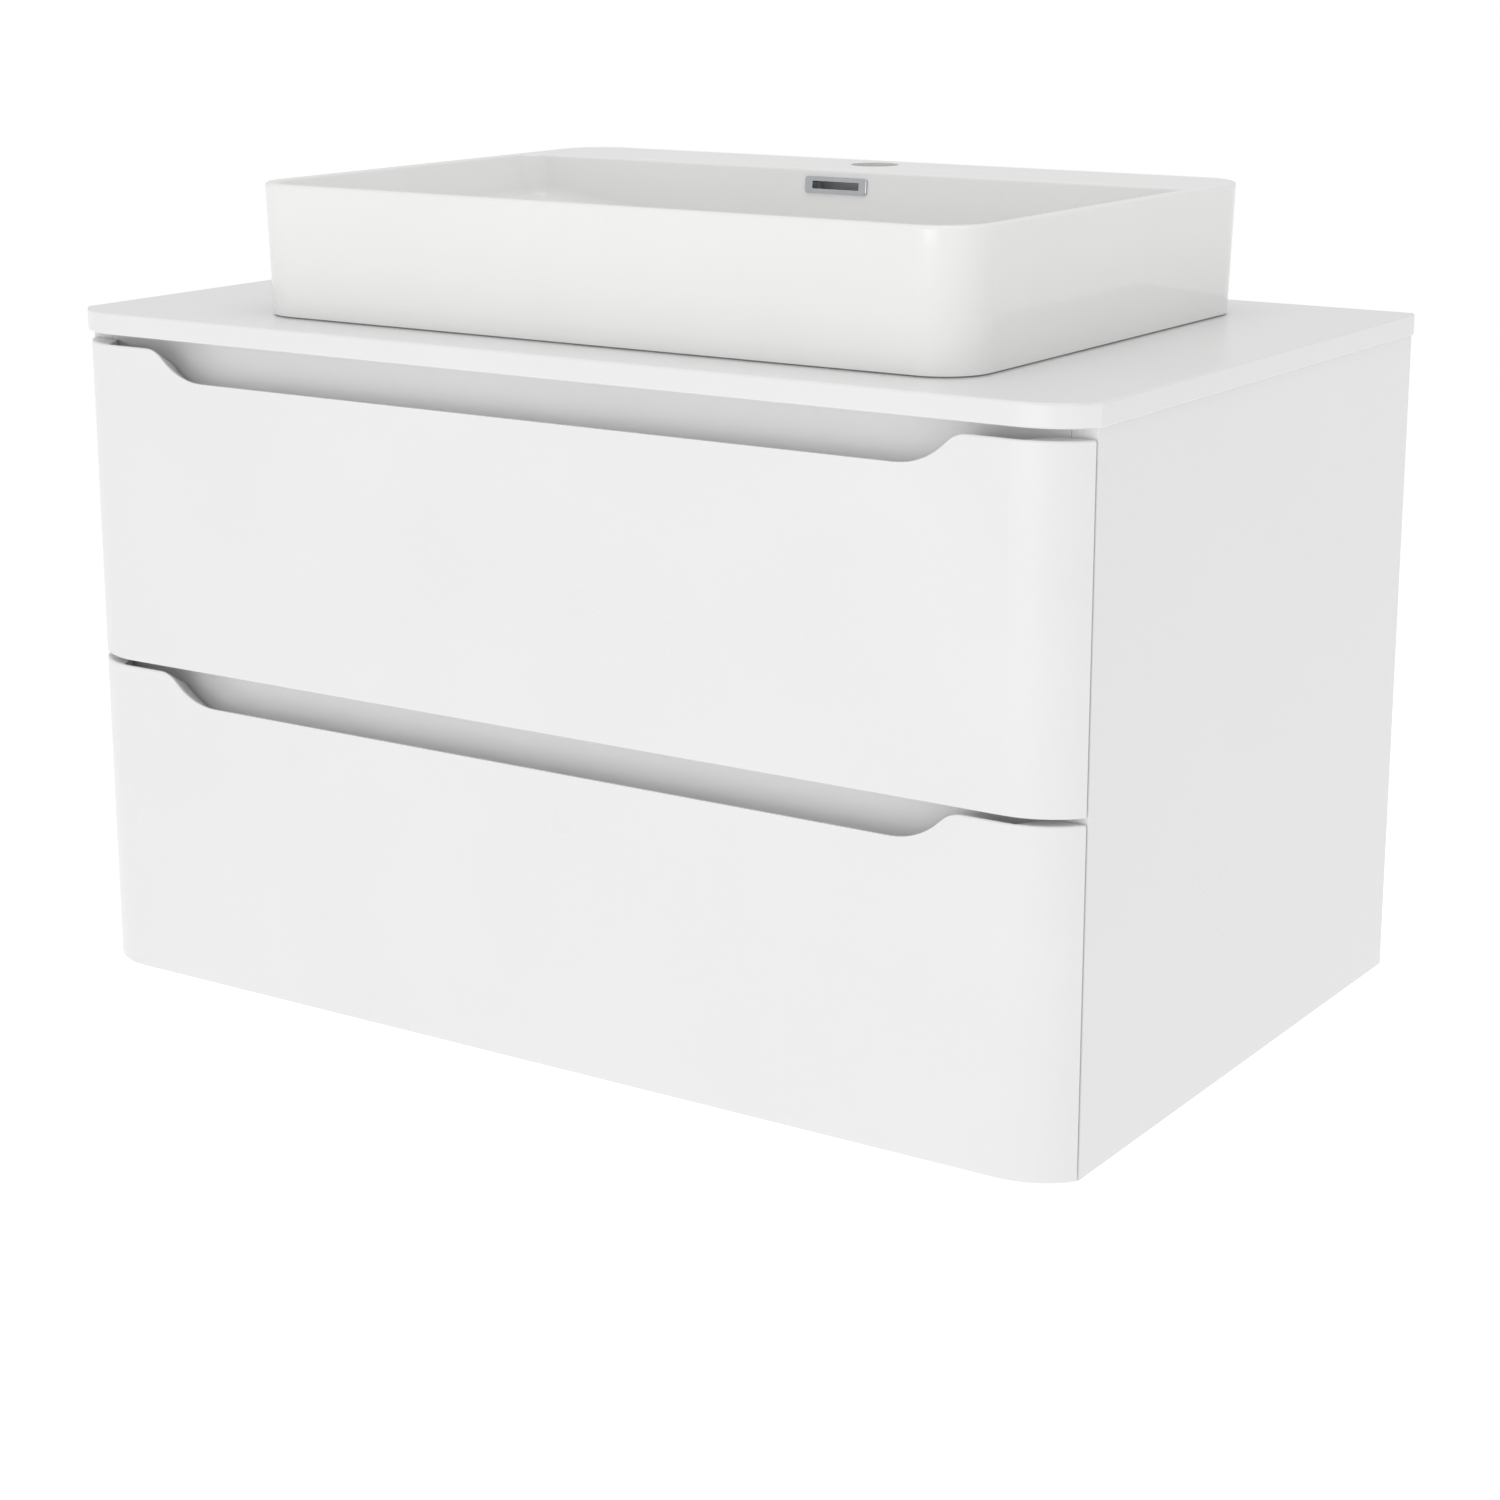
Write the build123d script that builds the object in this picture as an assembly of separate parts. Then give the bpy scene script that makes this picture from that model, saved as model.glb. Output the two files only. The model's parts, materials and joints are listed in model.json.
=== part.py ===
from build123d import *
import os
from math import acos, asin, atan, cos, degrees, radians, sin, tan

# A wall-hung vanity: a two-drawer lacquered cabinet under a thin worktop with a ceramic vessel basin.
# Millimetres. The wall is the plane y = 0, the fronts face -Y, X runs along the wall, and z = 0 is
# the cabinet's underside.

# ---------------------------------------------------------------- overall sizes
worktop_width = 800.0
overall_depth = 500.0
cabinet_height = 462.0
worktop_thickness = 15.0
worktop_side_overhang = 2.5
worktop_top_round = 1.5
worktop_bottom_round = 1.2
worktop_back_corner = 4.0

# ---------------------------------------------------------------- boards of the cabinet
side_thickness = 18.0
rail_thickness = 16.0
bottom_thickness = 16.0
middle_rail_height = 52.0
top_back_rail_height = 100.0
bottom_back_rail_height = 70.0
dowel_radius = 4.0
dowel_length = 30.0
dowel_depth_in_side = 12.0
dowel_inset = 16.0
dowel_end_inset = 48.0
hole_clearance = 0.05
level_band = 0.01

# ---------------------------------------------------------------- drawer fronts
front_thickness = 22.0
front_to_carcass = 2.0
front_side_inset = 0.5
front_gap_top = 7.0
front_gap_middle = 4.0
front_corner_radius = 55.0
front_edge_round = 1.5
notch_end_margin = 72.0
notch_run = 50.0
notch_depth = 21.0
notch_shoulder_radius = 20.0
notch_lip = 1.5
notch_undercut = 12.0
notch_backing = 12.5

# ---------------------------------------------------------------- drawer boxes
box_from_wall = 38.0
box_below_hanger = 8.0
box_wall = 12.0
box_bottom_thickness = 8.0
box_bottom_raise = 12.0
box_groove_depth = 6.0
box_groove_clearance = 0.2
box_above_board = 8.0
box_below_rail = 13.0
siphon_side_space = 52.0
siphon_front_space = 50.0
siphon_cut_radius = 30.0
siphon_wall = 6.0
box_screw_radius = 2.0
box_screw_bite = 14.0
box_screws_across = (-0.8, -0.3, 0.3, 0.8)
box_screws_up = (0.35, 0.8)

# ---------------------------------------------------------------- ball-bearing runners
runner_from_wall = 52.0
runner_height = 45.0
runner_width = 12.7
runner_sheet = 1.2
runner_ball_gap = 3.3
runner_ball_clearance = 0.1
runner_flange = 8.0
runner_web_step = 1.0
runner_above_box_bottom = 44.0
runner_front_setback = 4.0
runner_box_clearance = 0.3
balls_per_row = 8
ball_pitch = 12.0

# ---------------------------------------------------------------- wall hangers and worktop brackets
hanger_width = 17.0
hanger_depth = 56.0
hanger_height = 60.0
hanger_below_top = 22.0
hanger_behind_gap = 0.3
hanger_round = 4.0
hanger_screw_inset = 14.0
hanger_screw_depth = 10.0
hanger_screw_radius = 4.0
hook_thickness = 3.0
hook_play = 0.5
hook_side_play = 3.0
hook_drop = 18.0
hook_arm_height = 10.0
plate_width = 62.0
plate_height = 44.0
plate_thickness = 2.5
plate_hole_radius = 3.5
plate_hole_spacing = 34.0
plate_hole_up = 16.0
plate_lip_top = 10.0
plate_notch_play = 4.0
window_margin = 8.0
bracket_leg = 30.0
bracket_width = 20.0
bracket_thickness = 2.0
bracket_inset = 50.0
small_screw_radius = 1.75
small_screw_length = 11.0

# A screw's head and drive, in shank radii.
screw_head_width = 2.0
screw_head_height = 1.2
screw_drive_width = 0.7

# ---------------------------------------------------------------- basin
basin_width = 568.0
basin_height = 90.0
basin_x = 13.0
basin_from_front = 46.0
basin_from_wall = 52.0
basin_corner = 36.0
basin_draft = 3.0
rim_width = 7.0
ledge_depth = 88.0
bowl_front_corner = 33.0
bowl_back_corner = 15.0
bowl_depth = 56.0
bowl_end_depth = 30.0
bowl_wall_slope = 5.0
bowl_end_slope = 20.0
bowl_fillet = 12.0
rim_outer_round = 2.5
rim_inner_round = 2.5
ceramic_wall = 11.0
ledge_thickness = 14.0
tap_hole_radius = 17.5
tap_hole_from_back = 36.0
tap_hose_play = 10.0
bead_thickness = 1.0
bead_width = 7.0
bead_inset = 2.5

# ---------------------------------------------------------------- overflow
overflow_width = 52.0
overflow_height = 12.0
overflow_below_rim = 11.5
overflow_slot_width = 39.0
overflow_slot_height = 5.5
overflow_slot_corner = 1.0
overflow_collar_corner = 1.5
overflow_plate_corner = 2.0
overflow_plate = 1.6
overflow_collar = 6.0
overflow_collar_wall = 1.5
duct_width = 46.0
duct_gap = 9.0

# ---------------------------------------------------------------- waste and bottle trap
drain_from_wall = 275.0
drain_hole_play = 2.0
waste_tube_wall = 3.5
tailpipe_play = 1.0
waste_flange_radius = 32.0
waste_flange_thickness = 3.0
waste_flange_sink = 2.0
waste_seat_gap = 0.5
waste_below_worktop = 70.0
plug_radius = 29.0
plug_thickness = 5.0
plug_crown = 2.0
plug_seat_gap = 0.4
plug_stem_radius = 4.0
plug_stem_length = 44.0
guide_below_floor = 36.0
guide_height = 8.0
guide_spoke = 4.0
guide_hub_radius = 7.0
running_clearance = 0.08
gasket_radius = 31.0
gasket_thickness = 3.0
locknut_radius = 30.0
locknut_height = 9.0
thread_clearance = 0.1
pipe_radius = 16.0
pipe_wall = 1.5
pipe_stop_height = 2.0
pipe_stop_width = 3.0
pipe_stop_after_nut = 4.0
trap_gap = 6.0
trap_radius = 33.0
trap_wall = 2.5
trap_body_height = 60.0
trap_cup_height = 58.0
trap_cup_ring = 10.0
trap_cup_round = 8.0
trap_cup_step = 2.0
trap_shoulder_round = 5.0
trap_top_bore = 10.0
trap_neck_wall = 4.5
trap_neck_height = 14.0
trap_nut_wall = 4.5
trap_nut_lip = 3.5
trap_nut_start = 1.0
trap_outlet_drop = 34.0
trap_socket_length = 16.0
tailpipe_above_waste_end = 25.0
tailpipe_above_cup_floor = 20.0
nut_ribs = 24
nut_rib_radius = 1.2

# ---------------------------------------------------------------- places worked out from the sizes
half_top = worktop_width / 2
half_cabinet = half_top - worktop_side_overhang
half_inside = half_cabinet - side_thickness
half_front = half_cabinet - front_side_inset
front_y = -overall_depth
front_back_y = front_y + front_thickness
carcass_y = front_back_y + front_to_carcass
worktop_z = cabinet_height + worktop_thickness

front_height = (cabinet_height - front_gap_top - front_gap_middle) / 2
upper_front_z = front_height + front_gap_middle
notch_half_width = half_front - notch_end_margin
middle_rail_bottom = front_height - notch_depth - notch_backing
middle_rail_top = middle_rail_bottom + middle_rail_height

half_box = half_inside - runner_width - runner_box_clearance
hanger_z = cabinet_height - hanger_below_top - hanger_height
box_back_y = -box_from_wall
lower_box_bottom = bottom_thickness + box_above_board
upper_box_bottom = middle_rail_top + box_above_board
box_height = hanger_z - box_below_hanger - upper_box_bottom
top_front_rail_bottom = upper_box_bottom + box_height + box_below_rail
runner_front_y = carcass_y + runner_front_setback
runner_back_y = -runner_from_wall

basin_z = worktop_z + bead_thickness
basin_top_z = basin_z + basin_height
basin_front_y = front_y + basin_from_front
basin_back_y = -basin_from_wall
bowl_back_y = basin_back_y - ledge_depth
bowl_floor_z = basin_top_z - bowl_depth
overflow_z = basin_top_z - overflow_below_rim
tap_hole_y = basin_back_y - tap_hole_from_back

drain_y = -drain_from_wall
waste_tube_bore = pipe_radius + tailpipe_play
waste_tube_radius = waste_tube_bore + waste_tube_wall
drain_hole_radius = waste_tube_radius + drain_hole_play
trap_neck_radius = pipe_radius + trap_neck_wall
trap_nut_radius = trap_neck_radius + trap_nut_wall
siphon_half_width = trap_radius + siphon_side_space
siphon_nose_y = drain_y - trap_radius - siphon_front_space
waste_bottom_z = cabinet_height - waste_below_worktop
neck_top_z = waste_bottom_z - trap_gap
trap_top_z = neck_top_z - trap_neck_height
trap_body_z = trap_top_z - trap_body_height
trap_cup_z = trap_body_z - trap_cup_height
outlet_z = trap_top_z - trap_outlet_drop
socket_end_y = drain_y + trap_radius + trap_socket_length

bracket_screw_top = cabinet_height - bracket_thickness + small_screw_length
plate_x = half_inside - window_margin - (plate_notch_play + plate_width) / 2
plate_z = hanger_z + hanger_height / 2

half_outer = runner_height / 2
half_middle = half_outer - runner_sheet - runner_ball_gap
half_inner = half_middle - runner_sheet - runner_ball_gap
middle_web = runner_sheet + runner_web_step
inner_web = runner_width - runner_sheet

basin_x0 = basin_x - basin_width / 2
basin_x1 = basin_x + basin_width / 2
bowl_x0 = basin_x0 + rim_width
bowl_x1 = basin_x1 - rim_width
bowl_front_y = basin_front_y + rim_width

flange_z = bowl_floor_z - waste_flange_sink
guide_z = bowl_floor_z - guide_below_floor

SIDES = {"left": -1, "right": 1}


# ---------------------------------------------------------------- shape helpers
def block(x0, x1, y0, y1, z0, z1):
    """A box between two corners, given in any order."""
    centre = Pos((x0 + x1) / 2, (y0 + y1) / 2, (z0 + z1) / 2)
    return centre * Box(abs(x1 - x0), abs(y1 - y0), abs(z1 - z0))


def rod(x, y, z0, z1, radius):
    """An upright cylinder between two heights."""
    return Pos(x, y, (z0 + z1) / 2) * Cylinder(radius, abs(z1 - z0))


def rod_x(x0, x1, y, z, radius):
    """A cylinder along X."""
    return Pos((x0 + x1) / 2, y, z) * Rot(0, 90, 0) * Cylinder(radius, abs(x1 - x0))


def rod_y(x, y0, y1, z, radius):
    """A cylinder along Y."""
    return Pos(x, (y0 + y1) / 2, z) * Rot(90, 0, 0) * Cylinder(radius, abs(y1 - y0))


def slab_outline(x0, x1, y0, y1, z, radius):
    """A level rounded rectangle at height z."""
    return Pos((x0 + x1) / 2, (y0 + y1) / 2, z) * RectangleRounded(x1 - x0, y1 - y0, radius)


def outer_edges(shape, z):
    """The edges of a board's face at height z, apart from those on the wall plane."""
    level = shape.edges().filter_by_position(Axis.Z, z - level_band, z + level_band)
    return [edge for edge in level if edge.center().Y < -1]


def group(pieces):
    """Several separate solids kept as one part."""
    return Compound(children=[piece.solid() if len(piece.solids()) == 1 else piece for piece in pieces])


def save(shape, name):
    export_step(shape, f"parts/{name}.step")


# ---------------------------------------------------------------- the plan of worktop and fronts
corner_turn = acos(1 - front_thickness / front_corner_radius)


def corner_point(half_width, side, turn):
    """A point on the bowed front corner, which turns from the front face to a crisp edge at the side."""
    centre_x = half_width - front_corner_radius * sin(corner_turn)
    x = side * (centre_x + front_corner_radius * sin(turn))
    y = front_y + front_corner_radius * (1 - cos(turn))
    return (x, y)


def front_curve(half_width):
    """The front line from the left side to the right one: arc, straight, arc."""
    arcs = {}
    for name, side in SIDES.items():
        points = [corner_point(half_width, side, corner_turn * share) for share in (0, 0.5, 1)]
        arcs[name] = ThreePointArc(*points)
    straight = Line(corner_point(half_width, -1, 0), corner_point(half_width, 1, 0))
    return arcs["left"] + straight + arcs["right"]


# ---------------------------------------------------------------- worktop
def make_worktop():
    left = corner_point(half_top, -1, corner_turn)
    right = corner_point(half_top, 1, corner_turn)
    back = Polyline(right, (half_top, 0), (-half_top, 0), left)
    board = extrude(make_face(front_curve(half_top) + back), worktop_thickness)
    back_corners = board.edges().filter_by(Axis.Z).filter_by_position(Axis.Y, -1, 1)
    board = fillet(back_corners, worktop_back_corner)
    board = fillet(outer_edges(board, worktop_thickness), worktop_top_round)
    board = fillet(outer_edges(board, 0), worktop_bottom_round)
    board = Pos(0, 0, cabinet_height) * board
    board -= rod(basin_x, drain_y, cabinet_height - 1, worktop_z + 1, drain_hole_radius)
    board -= rod(basin_x, tap_hole_y, cabinet_height - 1, worktop_z + 1, tap_hole_radius + tap_hose_play)
    for x, y in bracket_places():
        board -= rod(x, y, cabinet_height - 1, bracket_screw_top, small_screw_radius + hole_clearance)
    return board


# ---------------------------------------------------------------- cabinet boards and their dowels
def board_spans():
    """The y and z limits of each board that stands between the side panels."""
    top = cabinet_height
    back = -rail_thickness
    return {
        "bottom_panel": (carcass_y, 0, 0, bottom_thickness),
        "top_front_rail": (carcass_y, carcass_y + rail_thickness, top_front_rail_bottom, top),
        "middle_rail": (carcass_y, carcass_y + rail_thickness, middle_rail_bottom, middle_rail_top),
        "top_back_rail": (back, 0, top - top_back_rail_height, top),
        "bottom_back_rail": (back, 0, bottom_thickness, bottom_thickness + bottom_back_rail_height),
    }


def dowel_places():
    """The y and z of every dowel in one side panel, two to a board end."""
    places = []
    for y0, y1, z0, z1 in board_spans().values():
        if y1 - y0 > z1 - z0:
            places += [(y0 + dowel_end_inset, (z0 + z1) / 2), (y1 - dowel_end_inset, (z0 + z1) / 2)]
        else:
            places += [((y0 + y1) / 2, z0 + dowel_inset), ((y0 + y1) / 2, z1 - dowel_inset)]
    return places


def dowel_row(clearance, side):
    """The dowels of one side, or the holes for them."""
    start = half_inside + dowel_depth_in_side + clearance
    end = start - dowel_length - 2 * clearance
    return [rod_x(side * start, side * end, y, z, dowel_radius + clearance) for y, z in dowel_places()]


def make_side_panel(side):
    panel = block(side * half_inside, side * half_cabinet, carcass_y, 0, 0, cabinet_height)
    for hole in dowel_row(hole_clearance, side):
        panel -= hole
    for _, y in bracket_places():
        inner = side * half_inside
        z = cabinet_height - bracket_leg / 2
        panel -= rod_x(inner, inner + side * (small_screw_length - bracket_thickness), y, z,
                       small_screw_radius + hole_clearance)
    return panel


def make_board(name):
    y0, y1, z0, z1 = board_spans()[name]
    board = block(-half_inside, half_inside, y0, y1, z0, z1)
    for side in SIDES.values():
        for hole in dowel_row(hole_clearance, side):
            board -= hole
    return board


def make_top_back_rail():
    """The rail has a window at each end, where a hanger's hook reaches the plate on the wall."""
    rail = make_board("top_back_rail")
    z0 = hanger_z + (hanger_height - plate_height - plate_notch_play) / 2
    for side in SIDES.values():
        x0 = half_inside - window_margin
        x1 = x0 - plate_width - plate_notch_play
        z1 = z0 + plate_height + plate_notch_play
        rail -= block(side * x0, side * x1, -rail_thickness - 1, 1, z0, z1)
    return rail


# ---------------------------------------------------------------- worktop brackets


def bracket_places():
    """The x and y of each upright screw, two brackets to a side."""
    reach = half_inside - bracket_leg / 2
    front = carcass_y + rail_thickness + bracket_inset
    back = -rail_thickness - hanger_depth - bracket_inset
    return [(side * reach, y) for side in SIDES.values() for y in (back, front)]


def make_bracket(x, y):
    side = 1 if x > 0 else -1
    inner = side * half_inside
    half = bracket_width / 2
    top = cabinet_height
    upright = block(inner, inner - side * bracket_thickness, y - half, y + half, top - bracket_leg, top)
    level = block(inner, inner - side * bracket_leg, y - half, y + half, top - bracket_thickness, top)
    angle = upright + level
    angle -= rod(x, y, top - bracket_leg, top + 1, small_screw_radius + hole_clearance)
    angle -= rod_x(inner + side, inner - side * bracket_leg / 2, y, top - bracket_leg / 2,
                   small_screw_radius + hole_clearance)
    return angle


def make_screw(length, radius):
    """A pan-head screw along +Z, with the underside of its head at the origin."""
    head_height = screw_head_height * radius
    head = Pos(0, 0, -head_height / 2) * Cylinder(screw_head_width * radius, head_height)
    head = fillet(head.edges().group_by(Axis.Z)[0], radius / 2)
    drive = Pos(0, 0, -head_height) * Cylinder(screw_drive_width * radius, radius)
    shank = Pos(0, 0, length / 2) * Cylinder(radius, length)
    return head - drive + shank


def make_bracket_screws():
    screws = []
    screw = make_screw(small_screw_length, small_screw_radius)
    for x, y in bracket_places():
        side = 1 if x > 0 else -1
        screws.append(Pos(x, y, cabinet_height - bracket_thickness) * screw)
        face = side * (half_inside - bracket_thickness)
        screws.append(Pos(face, y, cabinet_height - bracket_leg / 2) * Rot(0, side * 90, 0) * screw)
    return screws


# ---------------------------------------------------------------- wall hangers


def make_hanger(side):
    """A housing on the side panel, with a hook that drops behind the wall plate's lip."""
    inner = side * half_inside
    back_y = -rail_thickness - hanger_behind_gap
    front = back_y - hanger_depth
    body = block(inner, inner - side * hanger_width, front, back_y, hanger_z, hanger_z + hanger_height)
    body = fillet(body.edges().filter_by(Axis.X), hanger_round)
    screw_x = inner - side * hanger_width / 2
    for z in (hanger_z + hanger_screw_inset, hanger_z + hanger_height - hanger_screw_inset):
        body -= rod_y(screw_x, front - 1, front + hanger_screw_depth, z, hanger_screw_radius)
    arm_x0 = inner - side * (window_margin + hook_side_play)
    arm_x1 = inner - side * hanger_width
    tip_y = -plate_thickness - hook_play
    arm_z = plate_z + plate_lip_top
    arm = block(arm_x0, arm_x1, back_y, tip_y, arm_z, arm_z + hook_arm_height)
    tip = block(arm_x0, arm_x1, tip_y - hook_thickness, tip_y, arm_z - hook_drop, arm_z + hook_arm_height)
    return body + arm + tip


def make_wall_plate(side):
    """A steel plate on the wall with two screw holes and a lip, set off from the wall, for the hook."""
    x0 = side * plate_x - plate_width / 2
    x1 = x0 + plate_width
    z0 = plate_z - plate_height / 2
    lip_y = -plate_thickness - hook_thickness - 2 * hook_play
    plate = block(x0, x1, -plate_thickness, 0, z0, z0 + plate_height)
    plate += block(x0, x1, lip_y - plate_thickness, 0, z0, z0 + plate_thickness)
    plate += block(x0, x1, lip_y - plate_thickness, lip_y, z0, plate_z + plate_lip_top)
    for offset in (-plate_hole_spacing / 2, plate_hole_spacing / 2):
        hole_z = plate_z + plate_hole_up
        plate -= rod_y(side * plate_x + offset, -plate_thickness - 1, 1, hole_z, plate_hole_radius)
    return plate


# ---------------------------------------------------------------- drawer fronts
def notch_outline():
    """Half of the finger notch's lower line: a tight shoulder, then a wide sweep down to the level lip."""
    rise = notch_depth
    total = (notch_run ** 2 + rise ** 2) / (2 * rise)
    sweep_radius = total - notch_shoulder_radius
    turn = asin(notch_run / total)
    foot = notch_half_width - notch_run
    join_x = foot + sweep_radius * sin(turn)
    join_z = -rise + sweep_radius * (1 - cos(turn))
    sweep_mid = (foot + sweep_radius * sin(turn / 2), -rise + sweep_radius * (1 - cos(turn / 2)))
    shoulder_mid = (
        notch_half_width - notch_shoulder_radius * sin(turn / 2),
        -notch_shoulder_radius * (1 - cos(turn / 2)),
    )
    return (foot, -rise), sweep_mid, (join_x, join_z), shoulder_mid, (notch_half_width, 0)


def notch_face():
    """The whole notch, closed well above the front's top edge."""
    foot, sweep_mid, join, shoulder_mid, top = notch_outline()
    lines = []
    for side in SIDES.values():
        mirrored = [(side * x, z) for x, z in (foot, sweep_mid, join, shoulder_mid, top)]
        lines.append(ThreePointArc(*mirrored[0:3]))
        lines.append(ThreePointArc(*mirrored[2:5]))
    above = 3 * notch_undercut
    lines.append(Line((-foot[0], foot[1]), foot))
    reach = top[0] + above
    lines.append(Polyline(top, (reach, 0), (reach, above), (-reach, above), (-reach, 0), (-top[0], 0)))
    curve = lines[0]
    for line in lines[1:]:
        curve += line
    return make_face(curve)


def make_drawer_front(z0):
    """A bowed panel whose top edge is notched, and bevelled back behind the lip as a finger pull."""
    left = corner_point(half_front, -1, corner_turn)
    right = corner_point(half_front, 1, corner_turn)
    panel = extrude(make_face(front_curve(half_front) + Line(right, left)), front_height)
    for z in (0, front_height):
        level = panel.edges().filter_by_position(Axis.Z, z - level_band, z + level_band)
        rounded = [edge for edge in level if edge.center().Y < front_back_y - level_band]
        panel = fillet(rounded, front_edge_round)
    plane = Plane(origin=(0, front_y - 1, front_height), x_dir=(1, 0, 0), z_dir=(0, -1, 0))
    straight = extrude(plane * notch_face(), -(notch_lip + 1))
    bevel_start = Plane(origin=(0, front_y + notch_lip, front_height), x_dir=(1, 0, 0), z_dir=(0, -1, 0))
    bevel_depth = front_thickness - notch_lip
    slope = degrees(atan(notch_undercut / bevel_depth))
    bevel = extrude(bevel_start * notch_face(), -bevel_depth, taper=-slope)
    panel = panel - straight - bevel
    return Pos(0, 0, z0) * panel


# ---------------------------------------------------------------- drawer boxes
def groove(y0, y1, x0, x1, box_z):
    """The slot that the drawer bottom's edge sits in."""
    z0 = box_z + box_bottom_raise - box_groove_clearance / 2
    return block(x0, x1, y0, y1, z0, z0 + box_bottom_thickness + box_groove_clearance)


def box_screw_places(box_z):
    """The x and z of the screws that hold a front to its box."""
    return [
        (across * half_box, box_z + box_height * up)
        for across in box_screws_across
        for up in box_screws_up
    ]


def make_box_side(side, box_z):
    outer = side * half_box
    inner = side * (half_box - box_wall)
    board = block(inner, outer, front_back_y, box_back_y, box_z, box_z + box_height)
    slot = groove(front_back_y - 1, box_back_y + 1, inner - side, inner + side * box_groove_depth, box_z)
    return board - slot


def make_inner_front(box_z):
    half = half_box - box_wall
    back = front_back_y + box_wall
    board = block(-half, half, front_back_y, back, box_z, box_z + box_height)
    board -= groove(back - box_groove_depth, back + 1, -half - 1, half + 1, box_z)
    for x, z in box_screw_places(box_z):
        board -= rod_y(x, front_back_y - 1, back + 1, z, box_screw_radius + hole_clearance)
    return board


def siphon_cut(grow, z0, z1):
    """The U-shaped space at the back of the upper drawer, for the trap, made larger all round by grow."""
    half = siphon_half_width + grow
    space = block(basin_x - half, basin_x + half, siphon_nose_y - grow, box_back_y + 1, z0, z1)
    corners = space.edges().filter_by(Axis.Z).group_by(Axis.Y)[0]
    return fillet(corners, siphon_cut_radius + grow)


def make_box_bottom(box_z, has_siphon_cut):
    half = half_box - box_wall + box_groove_depth - box_groove_clearance
    front = front_back_y + box_wall - box_groove_depth + box_groove_clearance
    z0 = box_z + box_bottom_raise
    board = block(-half, half, front, box_back_y, z0, z0 + box_bottom_thickness)
    if has_siphon_cut:
        board -= siphon_cut(0, z0 - 1, z0 + box_bottom_thickness + 1)
    return board


def make_box_back(box_z, x0, x1):
    z0 = box_z + box_bottom_raise + box_bottom_thickness
    return block(x0, x1, box_back_y - box_wall, box_back_y, z0, box_z + box_height)


def make_siphon_wall(box_z):
    """The thin wall that keeps the drawer's contents away from the trap."""
    z0 = box_z + box_bottom_raise + box_bottom_thickness
    z1 = box_z + box_height
    wall = siphon_cut(siphon_wall, z0, z1) - siphon_cut(0, z0 - 1, z1 + 1)
    return wall - block(-half_box, half_box, box_back_y, box_back_y + 2, z0 - 1, z1 + 1)


def make_box_screws(box_z):
    screw = make_screw(box_wall + box_screw_bite, box_screw_radius)
    head_y = front_back_y + box_wall
    return [Pos(x, head_y, z) * Rot(90, 0, 0) * screw for x, z in box_screw_places(box_z)]


def drill_front(front, box_z):
    """Blind holes in the back of a front for the screws from its box."""
    for x, z in box_screw_places(box_z):
        end = front_back_y - box_screw_bite - hole_clearance
        front -= rod_y(x, end, front_back_y + 1, z, box_screw_radius + hole_clearance)
    return front


def save_drawer(name, front_z, box_z, has_siphon_cut):
    save(drill_front(make_drawer_front(front_z), box_z), f"{name}_drawer_front")
    save(make_inner_front(box_z), f"{name}_drawer_inner_front")
    for side_name, side in SIDES.items():
        save(make_box_side(side, box_z), f"{name}_drawer_side_{side_name}")
    save(make_box_bottom(box_z, has_siphon_cut), f"{name}_drawer_bottom")
    save(group(make_box_screws(box_z)), f"{name}_drawer_screws")
    half = half_box - box_wall
    if has_siphon_cut:
        cut_half = siphon_half_width + siphon_wall
        save(make_box_back(box_z, -half, basin_x - cut_half), f"{name}_drawer_back_left")
        save(make_box_back(box_z, basin_x + cut_half, half), f"{name}_drawer_back_right")
        save(make_siphon_wall(box_z), f"{name}_drawer_siphon_wall")
    else:
        save(make_box_back(box_z, -half, half), f"{name}_drawer_back")


# ---------------------------------------------------------------- runners


def channel(side, z, web, flange_start, half_height):
    """A folded steel channel. The web and the flanges are set out from the side panel inwards."""
    def plate(start, end, z0, z1):
        x0 = side * (half_inside - start)
        x1 = side * (half_inside - end)
        return block(x0, x1, runner_front_y, runner_back_y, z0, z1)

    shape = plate(web, web + runner_sheet, z - half_height, z + half_height)
    flange_end = flange_start + runner_flange
    shape += plate(flange_start, flange_end, z + half_height - runner_sheet, z + half_height)
    shape += plate(flange_start, flange_end, z - half_height, z - half_height + runner_sheet)
    return shape


def make_runner_balls(z):
    """The balls of both races of both runners, kept near the ends where the members always overlap."""
    radius = (runner_ball_gap - 2 * runner_ball_clearance) / 2
    races = (
        (half_outer - runner_sheet - runner_ball_gap / 2, middle_web + runner_flange / 2, "rear"),
        (half_middle - runner_sheet - runner_ball_gap / 2, inner_web - runner_flange / 2, "front"),
    )
    balls = []
    for side in SIDES.values():
        for height, depth, end in races:
            start = runner_front_y + ball_pitch
            if end == "rear":
                start = runner_back_y - ball_pitch * balls_per_row
            for up in (-1, 1):
                for count in range(balls_per_row):
                    place = Pos(side * (half_inside - depth), start + count * ball_pitch, z + up * height)
                    balls.append(place * Sphere(radius))
    return balls


def save_runners(name, box_z):
    z = box_z + runner_above_box_bottom
    for side_name, side in SIDES.items():
        save(channel(side, z, 0, 0, half_outer), f"{name}_runner_{side_name}_cabinet_member")
        middle = channel(side, z, middle_web, middle_web, half_middle)
        save(middle, f"{name}_runner_{side_name}_middle_member")
        inner = channel(side, z, inner_web, runner_width - runner_flange, half_inner)
        save(inner, f"{name}_runner_{side_name}_drawer_member")
    save(group(make_runner_balls(z)), f"{name}_runner_balls")


# ---------------------------------------------------------------- basin


def inset_outline(x0, x1, y0, y1, z, radius, inset):
    return slab_outline(x0 + inset, x1 - inset, y0 + inset, y1 - inset, z, radius - inset)


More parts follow.
